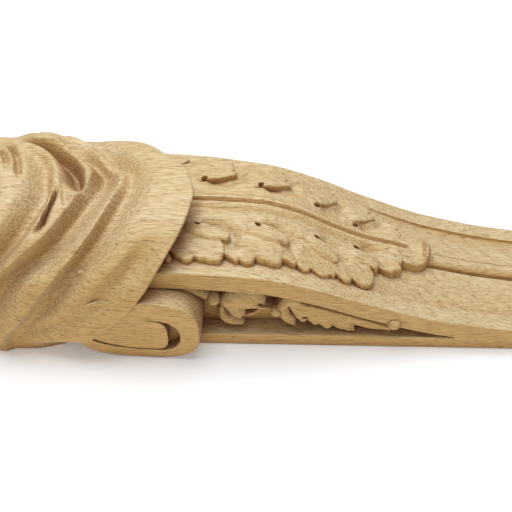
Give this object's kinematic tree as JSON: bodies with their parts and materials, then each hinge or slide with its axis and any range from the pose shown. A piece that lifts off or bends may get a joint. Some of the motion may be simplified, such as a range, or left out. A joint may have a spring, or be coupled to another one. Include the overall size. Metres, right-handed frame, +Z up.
{
  "type": "corbel bracket",
  "caption": "Carved oak corbel bracket: S-shaped console with acanthus leaf, side garlands, a volute and draped cloth round its head.",
  "frame": {"origin": "middle of the flat wall face", "axes": "+Z up, along the length, from the tail to the head that carries the load; +Y out of the wall face, into the wall; the carved front looks towards -Y; X across the width"},
  "size_m": [0.2016, 0.142, 0.6],
  "materials": {
    "oak": "bare sanded oak, unfinished, matt"
  },
  "bodies": {
    "root": {"carved_corbel": "oak"}
  },
  "joints": []
}
